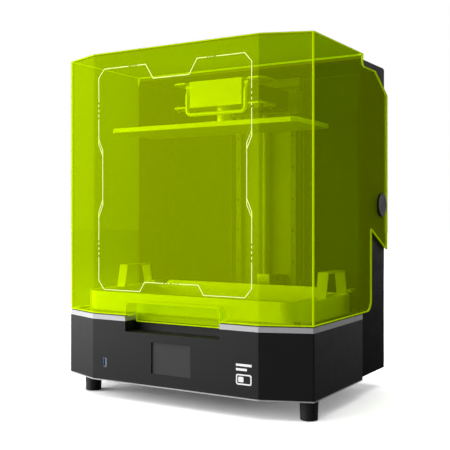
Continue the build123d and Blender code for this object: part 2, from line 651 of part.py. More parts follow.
with BuildPart() as bail_handle:
    with BuildLine() as bail_path:
        FilletPolyline(
            (-BAIL_HALF, at(BAIL_D), BAIL_TOP),
            (-BAIL_HALF, at(BAIL_FRONT), BAIL_TOP - 14),
            (-BAIL_HALF, at(BAIL_FRONT), BAIL_LOW),
            (BAIL_HALF, at(BAIL_FRONT), BAIL_LOW),
            (BAIL_HALF, at(BAIL_FRONT), BAIL_TOP - 14),
            (BAIL_HALF, at(BAIL_D), BAIL_TOP),
            radius=9,
        )
    with BuildSketch(Plane(origin=bail_path.line @ 0, z_dir=bail_path.line % 0)):
        Circle(BAIL_R)
    sweep()
    for side in (-1, 1):
        with Locations(Location((side * BAIL_HALF, at(BAIL_D), BAIL_TOP), (0, 90, 0))):
            Cylinder(4.6, 7.6)
        with Locations(Location((side * 52, at(BAIL_D), BAIL_TOP), (0, 90, 0))):
            Cylinder(BAIL_PIN_R, 11)
save(bail_handle, "bail_handle")

# ---- resin vat ----------------------------------------------------------------------------
with BuildPart() as vat_film:
    with BuildSketch(Plane.XY.offset(FILM_Z)):
        area(-VAT_HALF + 8, VAT_HALF - 8, VAT_FRONT + 6, VAT_BACK - 2)
        fillet(vertices(), radius=14)
    extrude(amount=FILM_T)
save(vat_film, "vat_film")

with BuildPart() as film_frame:
    with BuildSketch(Plane.XY.offset(FILM_Z + FILM_T)):
        area(-VAT_HALF + 8, VAT_HALF - 8, VAT_FRONT + 6, VAT_BACK - 2)
        fillet(vertices(), radius=14)
        area(-VAT_IN_HALF + 2, VAT_IN_HALF - 2, VAT_IN_FRONT + 2, VAT_IN_BACK - 1, mode=Mode.SUBTRACT)
    extrude(amount=VAT_Z - FILM_Z - FILM_T)
save(film_frame, "film_frame")

with BuildPart() as vat_tray:
    with BuildSketch(Plane.XY.offset(VAT_Z)):
        area(-VAT_HALF, VAT_HALF, VAT_FRONT, VAT_BACK)
        fillet(vertices().group_by(Axis.Y)[0], radius=40)
        fillet(vertices().group_by(Axis.Y)[-1], radius=18)
    extrude(amount=VAT_TOP - VAT_Z)
    block(-160, 160, VAT_IN_BACK, VAT_BACK, VAT_TOP - 4, VAT_WALL_TOP)
    chamfer(vat_tray.edges().filter_by(Axis.Y).group_by(Axis.Z)[-1], length=6)
    CAVITY_TOP_FRONT = 50
    with BuildSketch(Plane.XY.offset(VAT_Z)):
        area(-VAT_IN_HALF, VAT_IN_HALF, VAT_IN_FRONT, VAT_IN_BACK)
        fillet(vertices(), radius=5)
    with BuildSketch(Plane.XY.offset(VAT_WALL_TOP + 2)):
        area(-VAT_IN_HALF - 2, VAT_IN_HALF + 2, CAVITY_TOP_FRONT - 3, VAT_IN_BACK)
        fillet(vertices(), radius=5)
    loft(mode=Mode.SUBTRACT)
save(vat_tray, "vat_tray")

HANDLE_X0, HANDLE_X1, HANDLE_TOP, HANDLE_T = 194, 212, 216, 2.5
with BuildPart() as vat_handles:
    for side in (-1, 1):
        with BuildSketch(Plane.YZ.offset(side * HANDLE_X0)):
            with BuildLine():
                Polyline(
                    (at(131), VAT_TOP),
                    (at(140), HANDLE_TOP),
                    (at(210), HANDLE_TOP),
                    (at(219), VAT_TOP),
                    (at(219 - HANDLE_T), VAT_TOP),
                    (at(210 - HANDLE_T), HANDLE_TOP - HANDLE_T),
                    (at(140 + HANDLE_T), HANDLE_TOP - HANDLE_T),
                    (at(131 + HANDLE_T), VAT_TOP),
                    close=True,
                )
            make_face()
        extrude(amount=side * (HANDLE_X1 - HANDLE_X0))
save(vat_handles, "vat_handles")

CLAMP_X, CLAMP_D = 206, 240
CLAMP_PIN_R = 3
with BuildPart() as clamp_posts:
    for side in (-1, 1):
        for radius, top in ((8, DECK_TOP + 4), (5, VAT_TOP), (CLAMP_PIN_R, VAT_TOP + 4)):
            with Locations((side * CLAMP_X, at(CLAMP_D), DECK_TOP)):
                Cylinder(radius, top - DECK_TOP, align=(Align.CENTER, Align.CENTER, Align.MIN))
save(clamp_posts, "clamp_posts")

for side_name, side in (("left", -1), ("right", 1)):
    with BuildPart() as clamp_lever:
        with BuildSketch(Plane.XY.offset(VAT_TOP + 0.5)):
            with BuildLine():
                Polyline(
                    (side * CLAMP_X - 8, at(CLAMP_D - 6)),
                    (side * CLAMP_X + 8, at(CLAMP_D - 6)),
                    (side * CLAMP_X + 8, at(CLAMP_D + 8)),
                    (side * CLAMP_X + 3, at(CLAMP_D + 26)),
                    (side * CLAMP_X - 3, at(CLAMP_D + 26)),
                    (side * CLAMP_X - 8, at(CLAMP_D + 8)),
                    close=True,
                )
            make_face()
        extrude(amount=4)
        fillet(clamp_lever.edges().filter_by(Axis.Z), radius=2)
        with Locations((side * CLAMP_X, at(CLAMP_D), VAT_TOP)):
            Cylinder(CLAMP_PIN_R + RUN_GAP, 20, mode=Mode.SUBTRACT)
    save(clamp_lever, f"clamp_lever_{side_name}")

# ---- flip-up cover ------------------------------------------------------------------------
POCKET_D, POCKET_HALF, POCKET_TOP = 24, 84, 165
with BuildPart() as cover_shell:
    lower_corner, step_corner = (at(271), COVER_BOTTOM), (at(ROOF_BACK), 562)
    with BuildSketch(Plane.YZ):
        Polygon(
            (at(COVER_INSET), COVER_BOTTOM),
            lower_corner,
            (at(271), 284),
            (at(DEPTH + BADGE_T), 246),
            (at(DEPTH + BADGE_T), 526),
            (at(290), 562),
            step_corner,
            (at(ROOF_BACK), COVER_TOP),
            (at(COVER_INSET), COVER_TOP),
            align=None,
        )
        for corner, radius in ((lower_corner, 20), (step_corner, 8)):
            fillet(vertices().sort_by_distance(corner)[0], radius=radius)
    extrude(amount=COVER_HALF, both=True)
    with BuildSketch():
        Polygon(*plan(COVER_INSET, DEPTH + 5, COVER_HALF + COVER_INSET), align=None)
    extrude(amount=COVER_TOP, mode=Mode.INTERSECT)
    with BuildSketch():
        Polygon(*plan(COVER_INSET + COVER_WALL, DEPTH + 5, COVER_HALF + COVER_INSET), align=None)
    extrude(amount=COVER_TOP - COVER_WALL, mode=Mode.SUBTRACT)
    for grow, front, low, mode in (
        (COVER_WALL, COVER_INSET + 1, COVER_BOTTOM, Mode.ADD),
        (0, -5, COVER_BOTTOM - 5, Mode.SUBTRACT),
    ):
        mouth, floor = (front, NOTCH_HALF, POCKET_TOP), (POCKET_D + grow, POCKET_HALF, POCKET_TOP - 4)
        for depth, half, top in (mouth, floor):
            with BuildSketch(upright(depth)):
                face_area(-half - grow, half + grow, low, top + grow)
                fillet(vertices().group_by(Axis.Y)[-1], radius=8 + grow)
        loft(mode=mode)
    lip_half = POCKET_HALF + COVER_WALL
    with BuildSketch(upright(POCKET_D)):
        face_area(-lip_half, lip_half, 130, COVER_BOTTOM + 1)
        fillet(vertices().group_by(Axis.Y)[0], radius=3)
    extrude(amount=-COVER_WALL)
    with Locations(Location((0, at(PIVOT_D), PIVOT_Z), (0, 90, 0))):
        Cylinder(11, 2 * BASE_W, mode=Mode.SUBTRACT)
save(cover_shell, "cover_shell")

CAP_OUT = 240
with BuildPart() as hinge_caps:
    for side in (-1, 1):
        for radius, x0, x1, mode in (
            (21, COVER_HALF, CAP_OUT, Mode.ADD),
            (11, COVER_HALF - COVER_WALL, COVER_HALF, Mode.ADD),
            (PIN_R + RUN_GAP, COVER_HALF - COVER_WALL - 1, CAP_OUT - 1.4, Mode.SUBTRACT),
        ):
            with Locations(Location((side * (x0 + x1) / 2, at(PIVOT_D), PIVOT_Z), (0, 90, 0))):
                Cylinder(radius, x1 - x0, mode=mode)
    rims = hinge_caps.edges().filter_by(GeomType.CIRCLE).group_by(Axis.X)
    fillet(rims[0] + rims[-1], radius=1)
save(hinge_caps, "hinge_caps")

with BuildPart() as hinge_pins:
    for side in (-1, 1):
        for radius, x0, x1 in ((PIN_R, 226, CAP_OUT - 1.6), (13, 226, HOUSING_HALF - SHEET)):
            with Locations(Location((side * (x0 + x1) / 2, at(PIVOT_D), PIVOT_Z), (0, 90, 0))):
                Cylinder(radius, x1 - x0)
save(hinge_pins, "hinge_pins")

with BuildPart() as cover_pads:
    for side in (-1, 1):
        block(side * 204, side * 214, 31, 33.7, BAND_TOP, BAND_TOP + 7)
save(cover_pads, "cover_pads")
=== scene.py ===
import math

import bmesh
import bpy
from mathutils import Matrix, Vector


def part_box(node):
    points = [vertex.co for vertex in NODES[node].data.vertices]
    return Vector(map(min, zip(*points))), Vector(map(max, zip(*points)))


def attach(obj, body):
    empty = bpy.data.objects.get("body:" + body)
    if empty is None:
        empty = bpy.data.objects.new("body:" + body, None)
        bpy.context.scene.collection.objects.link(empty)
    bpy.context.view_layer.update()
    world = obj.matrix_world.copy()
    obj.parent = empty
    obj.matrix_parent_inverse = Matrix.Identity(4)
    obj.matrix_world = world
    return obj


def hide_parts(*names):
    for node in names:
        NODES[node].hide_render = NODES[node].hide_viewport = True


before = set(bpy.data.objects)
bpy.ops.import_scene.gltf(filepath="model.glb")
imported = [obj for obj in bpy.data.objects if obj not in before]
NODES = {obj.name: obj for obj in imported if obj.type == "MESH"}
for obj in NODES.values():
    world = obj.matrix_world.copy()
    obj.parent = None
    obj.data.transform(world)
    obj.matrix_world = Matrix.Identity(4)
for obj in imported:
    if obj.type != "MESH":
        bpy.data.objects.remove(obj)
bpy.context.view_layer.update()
MM = 0.001
NOISE_ROUGHNESS = 0.55

# ---- materials ----------------------------------------------------------------------------


class Shader:
    """A node tree being built for one material."""

    def __init__(self, name):
        self.material = bpy.data.materials.new(name)
        self.material.use_nodes = True
        self.tree = self.material.node_tree
        self.tree.nodes.clear()
        self.output = self.add("ShaderNodeOutputMaterial")
        self.coordinates = self.add("ShaderNodeTexCoord").outputs["Object"]

    def add(self, kind, **inputs):
        node = self.tree.nodes.new(kind)
        for key, value in inputs.items():
            node.inputs[key.replace("_", " ")].default_value = value
        return node

    def link(self, source, target):
        self.tree.links.new(source, target)

    def noise(self, scale, stretch=(1, 1, 1), detail=4.0):
        """Noise over the object, finer for a larger scale. A small stretch draws it out along that axis."""
        mapping = self.add("ShaderNodeMapping")
        mapping.inputs["Scale"].default_value = stretch
        self.link(self.coordinates, mapping.inputs["Vector"])
        noise = self.add("ShaderNodeTexNoise", Scale=scale, Detail=detail, Roughness=NOISE_ROUGHNESS)
        self.link(mapping.outputs["Vector"], noise.inputs["Vector"])
        return noise.outputs["Fac"]

    def spread(self, source, low, high, from_low=0.3, from_high=0.7):
        """Maps a value from one range to another. The first range is the one that noise mostly fills."""
        node = self.add("ShaderNodeMapRange")
        ends = {"From Min": from_low, "From Max": from_high, "To Min": low, "To Max": high}
        for key, value in ends.items():
            node.inputs[key].default_value = value
        self.link(source, node.inputs["Value"])
        return node.outputs["Result"]

    def blend(self, factor, first, second):
        """Mixes two colours by a pattern."""
        node = self.tree.nodes.new("ShaderNodeMix")
        node.data_type = "RGBA"
        self.link(factor, node.inputs["Factor"])
        sockets = [s for s in node.inputs if s.type == "RGBA"]
        for socket, colour in zip(sockets, (first, second)):
            socket.default_value = (*colour, 1.0)
        return [s for s in node.outputs if s.type == "RGBA"][0]

    def bump(self, height, strength, distance):
        node = self.add("ShaderNodeBump", Strength=strength, Distance=distance)
        self.link(height, node.inputs["Height"])
        return node.outputs["Normal"]

    def calculate(self, operation, first, second):
        """The result of a math operation on two values, each of them a socket or a number."""
        node = self.add("ShaderNodeMath")
        node.operation = operation
        for value, socket in ((first, node.inputs[0]), (second, node.inputs[1])):
            if isinstance(value, bpy.types.NodeSocket):
                self.link(value, socket)
            else:
                socket.default_value = value
        return node.outputs["Value"]


def shades(colour, amount):
    """A darker and a lighter version of a colour."""
    return [tuple(max(0.0, min(1.0, c * k)) for c in colour) for k in (1 - amount, 1 + amount)]


def surface(
    name, colour, rough=0.5, metal=0.0, vary=0.08, rough_vary=0.06, grain=900.0,
    stretch=(1, 1, 1), bump=0.15, coat=0.0, sheen=0.0, specular=0.5, glow=0.0,
):
    """A finish with uneven colour and gloss, and a fine grain in its surface. Glow makes it give off light of
    its own colour, a painted glow.
    """
    patch, grain_depth, coat_rough = 9.0, 0.2 * MM, 0.12
    s = Shader(name)
    bsdf = s.add("ShaderNodeBsdfPrincipled")
    bsdf.inputs["Metallic"].default_value = metal
    bsdf.inputs["Specular IOR Level"].default_value = specular
    bsdf.inputs["Coat Weight"].default_value = coat
    bsdf.inputs["Coat Roughness"].default_value = coat_rough
    bsdf.inputs["Sheen Weight"].default_value = sheen
    bsdf.inputs["Emission Color"].default_value = (*colour, 1.0)
    bsdf.inputs["Emission Strength"].default_value = glow
    dark, light = shades(colour, vary)
    s.link(s.blend(s.noise(patch), dark, light), bsdf.inputs["Base Color"])
    s.link(s.spread(s.noise(patch * 4), rough - rough_vary, rough + rough_vary), bsdf.inputs["Roughness"])
    s.link(s.bump(s.noise(grain, stretch, 3.0), bump, grain_depth), bsdf.inputs["Normal"])
    s.link(bsdf.outputs["BSDF"], s.output.inputs["Surface"])
    return s.material


def acrylic(name, haze_share, tint, haze, rough, metal, glow=0.0):
    """Tinted clear plastic: it lets tinted light straight through and shows some of its own colour. With glow
    it also gives off light of its own colour, a painted glow.
    """
    s = Shader(name)
    clear = s.add("ShaderNodeBsdfTransparent")
    clear.inputs["Color"].default_value = (*tint, 1.0)
    bsdf = s.add("ShaderNodeBsdfPrincipled", Metallic=metal, Roughness=rough)
    bsdf.inputs["Specular Tint"].default_value = (*haze, 1.0)
    bsdf.inputs["Specular IOR Level"].default_value = 0.0
    bsdf.inputs["Emission Color"].default_value = (*haze, 1.0)
    bsdf.inputs["Emission Strength"].default_value = glow
    dark, light = shades(haze, 0.03)
    s.link(s.blend(s.noise(5.0), dark, light), bsdf.inputs["Base Color"])
    s.link(s.bump(s.noise(6.0, detail=1.0), 0.02, 1 * MM), bsdf.inputs["Normal"])
    mix = s.add("ShaderNodeMixShader")
    mix.inputs["Fac"].default_value = haze_share
    s.link(clear.outputs["BSDF"], mix.inputs[1])
    s.link(bsdf.outputs["BSDF"], mix.inputs[2])
    s.link(mix.outputs["Shader"], s.output.inputs["Surface"])
    return s.material


def etched_plate(name):
    """Blasted aluminium with the fine crossed lines that hold a print to the underside of the build plate."""
    ridge_scale, ridge_from, ridge_to = 55.0, 0.8, 0.95
    bare, etched = (0.93, 0.94, 0.93), (0.16, 0.17, 0.16)
    s = Shader(name)
    bsdf = s.add("ShaderNodeBsdfPrincipled", Metallic=0.3)
    runs = []
    for turn in (45, -45):
        mapping = s.add("ShaderNodeMapping")
        mapping.inputs["Rotation"].default_value = (0, 0, math.radians(turn))
        s.link(s.coordinates, mapping.inputs["Vector"])
        wave = s.add("ShaderNodeTexWave", Scale=ridge_scale, Distortion=0.0)
        s.link(mapping.outputs["Vector"], wave.inputs["Vector"])
        runs.append(s.spread(wave.outputs["Fac"], 0.0, 1.0, ridge_from, ridge_to))
    faces = s.add("ShaderNodeSeparateXYZ")
    s.link(s.add("ShaderNodeTexCoord").outputs["Normal"], faces.inputs["Vector"])
    underside = s.calculate("LESS_THAN", faces.outputs["Z"], -0.5)
    lines = s.calculate("MULTIPLY", s.calculate("MAXIMUM", *runs), underside)
    s.link(s.blend(lines, bare, etched), bsdf.inputs["Base Color"])
    s.link(s.spread(s.noise(600.0), 0.4, 0.55), bsdf.inputs["Roughness"])
    s.link(s.bump(lines, 0.5, 0.4 * MM), bsdf.inputs["Normal"])
    s.link(bsdf.outputs["BSDF"], s.output.inputs["Surface"])
    return s.material


def circuit(name):
    """Green circuit board with paler copper tracks under its lacquer."""
    board, tracks = (0.012, 0.09, 0.035), (0.03, 0.2, 0.08)
    s = Shader(name)
    bsdf = s.add("ShaderNodeBsdfPrincipled", Roughness=0.35)
    brick = s.add("ShaderNodeTexBrick", Scale=90.0)
    brick.inputs["Mortar Size"].default_value = 0.06
    s.link(s.coordinates, brick.inputs["Vector"])
    s.link(s.blend(brick.outputs["Fac"], board, tracks), bsdf.inputs["Base Color"])
    s.link(s.bump(brick.outputs["Fac"], 0.2, 0.1 * MM), bsdf.inputs["Normal"])
    s.link(bsdf.outputs["BSDF"], s.output.inputs["Surface"])
    return s.material


UP = (1, 1, 0.02)  # grain drawn out along z
ACROSS = (0.02, 1, 1)  # grain drawn out along x
powder_black = surface(
    "powder_black", (0.015, 0.015, 0.0155), 0.5,
    vary=0.08, grain=1500, bump=0.2, specular=0.28,
)
powder_grey = surface(
    "powder_grey", (0.0055, 0.0055, 0.0057), 0.55,
    vary=0.1, grain=1300, bump=0.2, specular=0.04,
)
panel_grey = surface("panel_grey", (0.022, 0.022, 0.023), 0.5, vary=0.1, grain=1300, bump=0.25, specular=0.3)
band_paint = surface("band_paint", (0.72, 0.72, 0.745), 0.3, vary=0.03, grain=1800, bump=0.08, coat=0.2)
light_paint = surface("light_paint", (0.6, 0.6, 0.62), 0.35, vary=0.05, grain=1500, bump=0.1)
rubber = surface("rubber", (0.013, 0.013, 0.013), 0.62, vary=0.2, grain=700, bump=0.3, sheen=0.1)
ground_steel = surface(
    "ground_steel", (0.62, 0.63, 0.64), 0.26, 1.0,
    vary=0.04, rough_vary=0.03, grain=1400, bump=0.1,
)
rail_steel = surface(
    "rail_steel", (0.17, 0.18, 0.18), 0.4, 0.4,
    vary=0.03, rough_vary=0.03, stretch=UP, bump=0.08,
)
screw_steel = surface("screw_steel", (0.85, 0.86, 0.86), 0.35, 0.4, vary=0.04, grain=1400, bump=0.1)
dark_steel = surface("dark_steel", (0.16, 0.16, 0.165), 0.35, 0.9, vary=0.15, grain=1200, bump=0.15)
blasted = surface("blasted_aluminium", (0.93, 0.94, 0.94), 0.38, 0.5, vary=0.04, grain=1700, bump=0.2)
bracket_sheet = surface("bracket_sheet", (0.7, 0.71, 0.71), 0.4, 0.5, vary=0.04, grain=1700, bump=0.2)
bent_sheet = surface("bent_sheet", (0.6, 0.61, 0.61), 0.42, 0.4, vary=0.04, grain=1700, bump=0.2)
machined = surface(
    "machined_aluminium", (0.7, 0.71, 0.71), 0.3, 0.75,
    vary=0.04, grain=1500, stretch=ACROSS, bump=0.15,
)
column_grey = surface(
    "column_grey", (0.36, 0.365, 0.365), 0.5, 0.2,
    vary=0.03, rough_vary=0.03, stretch=UP, bump=0.08,
)
black_anodised = surface(
    "black_anodised", (0.035, 0.035, 0.038), 0.36, 0.3,
    grain=1500, stretch=UP, bump=0.12,
)
moulded_black = surface("moulded_black", (0.02, 0.02, 0.021), 0.45, vary=0.15, grain=1100, bump=0.25)
cap_black = surface("cap_black", (0.01, 0.01, 0.012), 0.45, vary=0.1, grain=900, bump=0.06, specular=0.05)
# The socket's tongue glows a little: a painted glow on top of its own blue.
socket_blue_glowing = surface("socket_blue_glowing", (0.08, 0.3, 0.75), 0.4, vary=0.05, grain=1500, bump=0.05, glow=0.15)
# The badge print glows a little: a painted glow on top of the real white print.
white_print_glowing = surface("white_print_glowing", (0.93, 0.93, 0.93), 0.5, vary=0.02, grain=2500, bump=0.05, glow=0.3)
# The printed lines glow a little: a painted glow on top of the real print.
line_print_glowing = surface(
    "line_print_glowing", (0.9, 1.0, 0.33), 0.6,
    vary=0.02, grain=2500, bump=0.05, specular=0.1, glow=0.25,
)
screen_glass = surface("screen_glass", (0.075, 0.075, 0.077), 0.12, vary=0.05, grain=300, bump=0.01, coat=0.6)
panel_glass = surface("panel_glass", (0.01, 0.013, 0.02), 0.08, vary=0.1, grain=300, bump=0.01, coat=0.8)
lens_clear = surface("lens_clear", (0.8, 0.83, 0.84), 0.1, vary=0.03, grain=300, bump=0.02, coat=0.4)
film_clear = surface("release_film", (0.62, 0.66, 0.68), 0.15, vary=0.05, grain=60, bump=0.05, coat=0.3)
brass = surface("brass", (0.72, 0.5, 0.2), 0.28, 1.0, grain=1300, bump=0.12)
plate_etched = etched_plate("plate_etched")
board_green = circuit("board_green")
# acrylic: share of its own colour, tint of what shows through, its own colour, roughness, metal, painted glow
cover_clear = acrylic("cover_clear", 0.235, (0.925, 1.0, 0.005), (0.76, 1.0, 0.0), 0.6, 0.0)
# The edge material glows a little with its own colour: a painted highlight on the cover's edges and rods.
cover_edge_glow = acrylic("cover_edge_glow", 0.8, (0.9, 1.0, 0.01), (0.9, 1.0, 0.12), 0.35, 0.0, 0.15)
# The next material draws a dark line along the front corners of the cover: a painted dark reflection.
cover_dark_reflection = acrylic("cover_dark_reflection", 0.75, (0.8, 1.0, 0.01), (0.1, 0.14, 0.0), 0.35, 0.0)
# Side panels in front of the housing show more of the cover's own colour: painted light standing in for light
# reflected off them.
cover_lightened = acrylic("cover_lightened", 0.7, (0.925, 1.0, 0.005), (0.78, 1.0, 0.0), 0.3, 0.3)

FINISH = {
    powder_black: "base_shell top_deck",
    powder_grey: "rear_housing hinge_pins",
    panel_grey: "rear_panel port_plate",
    band_paint: "trim_band",
    light_paint: "bottom_plate",
    rubber: "cover_seal rubber_feet cover_pads",
    ground_steel: "foot_screws usb_socket fan_guards network_socket clamp_posts motor_shaft",
    rail_steel: "linear_rails",
    screw_steel: "lead_screw guide_blocks",
    column_grey: "column_plate carriage_plate upper_bearing",
    dark_steel: "case_screws z_motor bracket_bolts",
    bent_sheet: "vat_handles",
    bracket_sheet: "platform_bracket",
    blasted: "vat_tray levelling_block bail_handle clamp_lever_left clamp_lever_right film_frame",
    machined: "heat_sink power_supply lower_bearing motor_coupler",
    black_anodised: "column_channel carriage_arm",
    moulded_black: "display_module light_funnel fan_frames mains_inlet switch_body limit_switch power_rocker "
    "fan_rotor_left fan_rotor_right",
    cap_black: "hinge_caps",
    white_print_glowing: "front_badge",
    screen_glass: "touch_glass",
    panel_glass: "mask_screen",
    lens_clear: "lens_array",
    film_clear: "vat_film",
    brass: "lead_nut",
    plate_etched: "build_plate",
    board_green: "led_board mainboard",
    cover_clear: "cover_shell",
}
for material, names in FINISH.items():
    for name in names.split():
        data = NODES[name].data
        data.materials.clear()
        data.materials.append(material)

# ---- mesh helpers -------------------------------------------------------------------------


def piece(name, mesh, material, body):
    """A finished mesh as a piece that rides on a body."""
    obj = bpy.data.objects.new(name, mesh)
    bpy.context.scene.collection.objects.link(obj)
    if material is not None:
        mesh.materials.append(material)
    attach(obj, body)
    return obj


def ribbon(bm, points, width, front, back):
    """Adds a flat strip that follows (x, z) points, between the planes y = front and y = back."""
    least_mitre = 0.35
    path = [Vector(p) for p in points]
    ways = [(b - a).normalized() for a, b in zip(path, path[1:])]
    rings = []
    for i, here in enumerate(path):
        sides = [Vector((-w.y, w.x)) for w in ways[max(0, i - 1) : i + 1]]
        mitre = sum(sides, Vector((0, 0))).normalized()
        reach = width / 2 / max(least_mitre, mitre.dot(sides[0]))
        ring = []
        for y, sign in ((front, 1), (front, -1), (back, -1), (back, 1)):
            p = here + mitre * reach * sign
            ring.append(bm.verts.new((p.x, y, p.y)))
        rings.append(ring)
    for a, b in zip(rings, rings[1:]):
        for k in range(4):
            bm.faces.new((a[k], a[(k + 1) % 4], b[(k + 1) % 4], b[k]))
    bm.faces.new(rings[0][::-1])
    bm.faces.new(rings[-1])


def mesh_from(bm, name):
    """Turns a bmesh's faces outwards, makes a mesh of it and frees it."""
    bmesh.ops.recalc_face_normals(bm, faces=bm.faces)
    mesh = bpy.data.meshes.new(name)
    bm.to_mesh(mesh)
    bm.free()
    return mesh


# ---- cover --------------------------------------------------------------------------------
COVER_LOW, COVER_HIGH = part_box("cover_shell")
HOUSING_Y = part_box("rear_housing")[0].y
WALL = 3.5 * MM
CHAMFER_DEPTH = 34 * MM
CLEAR, EDGE_GLOW, LIGHTENED = range(3)  # material slots of cover_panels
ROD_PAINTED_HIGHLIGHT, ROD_PAINTED_DARK = range(2)  # material slots of cover_highlight_rods
SQUARE_ON = 0.98
WELD = 1e-6

cover_mesh = NODES["cover_shell"].data.copy()
cover_mesh.name = "cover_panels"
bm = bmesh.new()
bm.from_mesh(cover_mesh)
bmesh.ops.remove_doubles(bm, verts=bm.verts, dist=WELD)
bmesh.ops.dissolve_limit(bm, angle_limit=math.radians(0.5), verts=bm.verts, edges=bm.edges)
# The side panels are split where the housing starts, because they look denser in front of it: there they show
# more of their own colour, painted light that makes them look lighter over the dark housing.
everything = bm.verts[:] + bm.edges[:] + bm.faces[:]
bmesh.ops.bisect_plane(bm, geom=everything, plane_co=(0, HOUSING_Y, 0), plane_no=(0, 1, 0), dist=WELD)
for face in bm.faces:
    n, c = face.normal, face.calc_center_median()
    side_panel = abs(n.x) > SQUARE_ON and abs(c.x) > COVER_HIGH.x - WALL - 1 * MM
    roof = abs(n.z) > SQUARE_ON and c.z > COVER_HIGH.z - WALL - 1 * MM
    front = c.y < COVER_LOW.y + CHAMFER_DEPTH and abs(n.z) < 0.9
    # Faces that are not panels, the cut edges of the wall, take the glowing edge material: a painted
    # highlight.
    face.material_index = CLEAR if side_panel or roof or front else EDGE_GLOW
    if side_panel and c.y > HOUSING_Y:
        face.material_index = LIGHTENED
    face.smooth = False


def rod(out, edge, radius, material):
    """Adds a thin rod just inside an outward edge of the cover, where the panel's edge catches light. The
    rod's material paints that light in: a bright glowing highlight on most edges, a dark reflection on the
    front corners.
    """
    sides, clearance, least_slope = 6, 0.1 * MM, 0.3
    first, second = (f.normal for f in edge.link_faces)
    inward = -(first + second).normalized()
    inset = inward * (radius + clearance) / max(least_slope, -inward.dot(first))
    start, end = (v.co + inset for v in edge.verts)
    across = (end - start).normalized().cross(inward)
    rings = []
    for middle in (start, end):
        ring = []
        for k in range(sides):
            angle = math.pi * k / (sides / 2)
            spoke = inward * math.cos(angle) + across * math.sin(angle)
            ring.append(out.verts.new(middle + radius * spoke))
        rings.append(ring)
    faces = [out.faces.new(ring) for ring in rings]
    for k in range(sides):
        faces.append(out.faces.new((rings[0][k], rings[0][k - 1], rings[1][k - 1], rings[1][k])))
    for face in faces:
        face.material_index = material


SHARP = math.radians(25)
WIDE_AREA = 0.01  # square metres
TALL = 300 * MM
FRONT_DEPTH = 10 * MM
DARK_LINE_R, CORNER_R, EDGE_R = 0.6 * MM, 1.6 * MM, 0.8 * MM
rods = bmesh.new()
for edge in bm.edges:
    if len(edge.link_faces) != 2 or not edge.is_convex or edge.calc_face_angle() < SHARP:
        continue
    a, b = (v.co for v in edge.verts)
    corner = min(f.calc_area() for f in edge.link_faces) > WIDE_AREA and abs(a.z - b.z) > TALL
    # Front corners get a dark rod, a painted dark reflection; the other sharp edges get a bright rod, a
    # painted highlight.
    if corner and a.y < COVER_LOW.y + FRONT_DEPTH:
        rod(rods, edge, DARK_LINE_R, ROD_PAINTED_DARK)
    elif corner:
        rod(rods, edge, CORNER_R, ROD_PAINTED_HIGHLIGHT)
    else:
        rod(rods, edge, EDGE_R, ROD_PAINTED_HIGHLIGHT)
for vert in rods.verts:
    vert.co.y = min(vert.co.y, COVER_HIGH.y)
cover_highlight_rods = piece("cover_highlight_rods", mesh_from(rods, "cover_highlight_rods"), cover_edge_glow, "cover")
cover_highlight_rods.data.materials.append(cover_dark_reflection)
bm.to_mesh(cover_mesh)
bm.free()
cover_mesh.materials.clear()
for material in (cover_clear, cover_edge_glow, cover_lightened):
    cover_mesh.materials.append(material)
cover_panels = piece("cover_panels", cover_mesh, None, "cover")
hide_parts("cover_shell")

# ---- line print on the front of the cover -------------------------------------------------
LINE_W, LINE_T = 1.5 * MM, 0.25 * MM
SIDE_X, NOTCH_X = 148, 139.5
TOP_Z, DIP_Z, LOW_Z, BOTTOM_Z = 555, 531, 199, 183.5
SLANTS = ((409, 428), (334, 314))  # z of each slanted line, on the notch and on the side
SLANT_GAP = 9  # how far the second line of a slant is from the first
# (x, z) along the right half, in mm, with None where the line is broken
RIGHT_HALF = [
    (35, DIP_Z), (50, TOP_Z), (68, TOP_Z), None,
    (85, TOP_Z), (136, TOP_Z), (SIDE_X, 541), (SIDE_X, 500), None,
    (SIDE_X, 471), (SIDE_X, 428), (NOTCH_X, 409), (NOTCH_X, 334), (SIDE_X, 314), (SIDE_X, 266), None,
    (SIDE_X, 238), (SIDE_X, 197.5), (136, BOTTOM_Z), (62, BOTTOM_Z), (52, LOW_Z), (14, LOW_Z), None,
]


def printed(bm, points, flip=False):
    """Adds a printed line on the front face through (x, z) points in mm, or through their mirror image."""
    side = -1 if flip else 1
    path = [(side * (x * MM), z * MM) for x, z in points]
    ribbon(bm, path, LINE_W, COVER_LOW.y - LINE_T, COVER_LOW.y)


bm = bmesh.new()
for flip in (False, True):
    run = []
    for point in RIGHT_HALF:
        if point is None:
            printed(bm, run, flip)
            run = []
        else:
            run.append(point)
    dashes = [((SIDE_X, z), (SIDE_X, z + 4.5)) for z in (474.5, 483, 491.5, 241.5, 250, 258.5)]
    dashes += [((x, TOP_Z), (x + 2.5, TOP_Z)) for x in (71.5, 77)]
    dashes += [((x, LOW_Z), (x + 3, LOW_Z)) for x in (3, 8.5)]
    for dash in dashes:
        printed(bm, dash, flip)
    for inner, outer in SLANTS:
        shift = SLANT_GAP if outer > inner else -SLANT_GAP
        slant = ((NOTCH_X, inner), (NOTCH_X, inner + shift), (SIDE_X, outer + shift), (SIDE_X, outer))
        printed(bm, slant, flip)
printed(bm, ((-35, DIP_Z), (35, DIP_Z)))
piece("cover_line_print", mesh_from(bm, "cover_line_print"), line_print_glowing, "cover")

